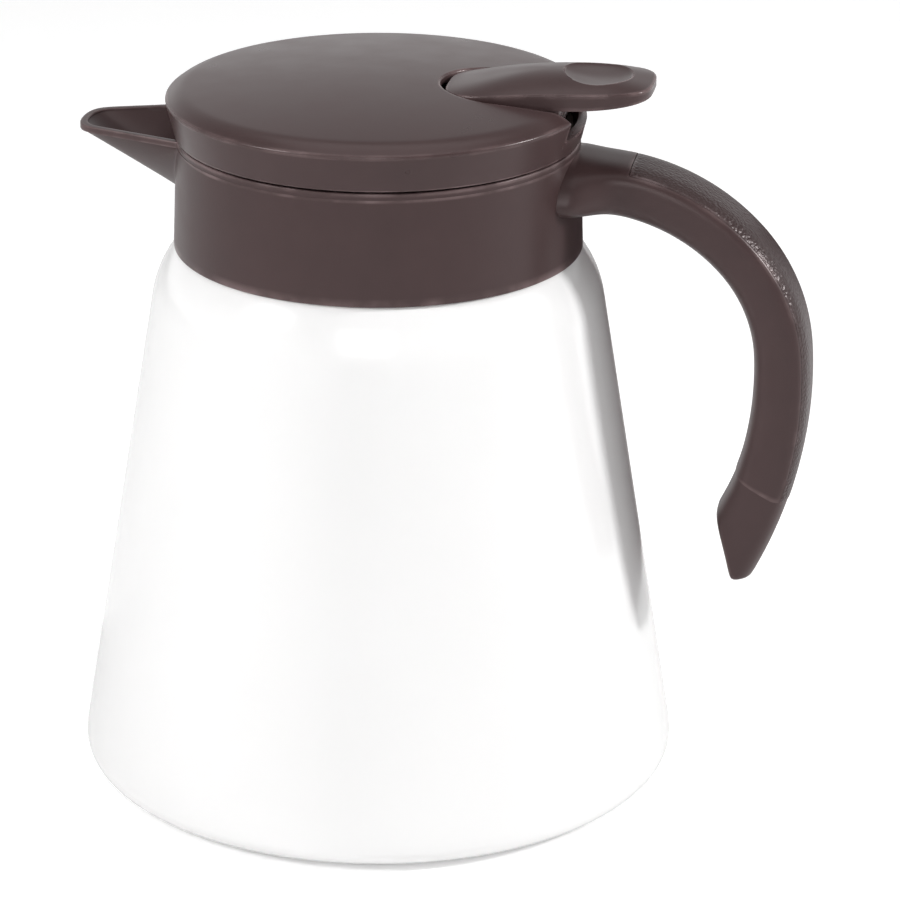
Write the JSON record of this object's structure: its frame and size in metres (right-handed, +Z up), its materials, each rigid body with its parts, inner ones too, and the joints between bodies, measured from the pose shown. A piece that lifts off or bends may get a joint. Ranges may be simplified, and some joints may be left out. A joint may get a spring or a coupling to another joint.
{
  "type": "vacuum carafe",
  "caption": "Cone-shaped vacuum carafe with a pouring spout, an open curved handle and a screw-in lid whose thumb lever lifts a valve to pour.",
  "frame": {"origin": "on the jug's axis, at the level it stands on", "axes": "+Z up along the jug's axis, +X towards the handle, so the spout points to -X"},
  "size_m": [0.1644, 0.1348, 0.164],
  "materials": {
    "white_paint": "gloss",
    "brown_plastic": "satin, fine grain",
    "lid_plastic": "satin, fine grain",
    "cover_plastic": "satin, leather grain",
    "stopper_plastic": "satin",
    "steel": "brushed",
    "getter_metal": "dull",
    "silicone": "matt",
    "pad_plastic": "matt"
  },
  "bodies": {
    "jug": {"base_pad": "pad_plastic", "base_plate": "steel", "vacuum_seal": "steel", "getter": "getter_metal", "outer_shell": "white_paint", "inner_flask": "steel", "collar": "brown_plastic", "collar_seal": "silicone", "handle_grip": "brown_plastic", "handle_cover": "cover_plastic", "handle_screws": "steel"},
    "gasket_ring": {"stopper_gasket": "silicone"},
    "lid": {"stopper_body": "stopper_plastic", "splash_seal": "silicone", "lid_cover": "lid_plastic", "lever_pin": "steel", "stem_seal": "silicone", "valve_spring": "steel"},
    "lever": {"thumb_lever": "lid_plastic"},
    "valve": {"valve_stem": "steel", "valve_disc": "stopper_plastic", "valve_gasket": "silicone"}
  },
  "joints": [
    {"name": "lid_rise", "type": "slide", "parent": "jug", "child": "gasket_ring", "axis": [0, 0, 1], "range_m": [0, 0.0125]},
    {"name": "lid_turn", "type": "hinge", "parent": "gasket_ring", "child": "lid", "pos_m": [0, 0, 0.13], "axis": [0, 0, 1], "range_deg": [0, 300]},
    {"name": "lever_press", "type": "hinge", "parent": "lid", "child": "lever", "pos_m": [0.0385, 0, 0.1543], "axis": [0, 1, 0], "range_deg": [0, 7], "stiffness_Nm_per_rad": 0.77, "springref_deg": -11.69},
    {"name": "valve_lift", "type": "slide", "parent": "lid", "child": "valve", "axis": [0, 0, 1], "range_m": [0, 0.0048], "deforming": ["valve_spring"]}
  ],
  "couplings": [
    {"joint": "lid_rise", "follows": "lid_turn", "m_per_rad": 0.0023873},
    {"joint": "valve_lift", "follows": "lever_press", "m_per_rad": 0.0392}
  ]
}
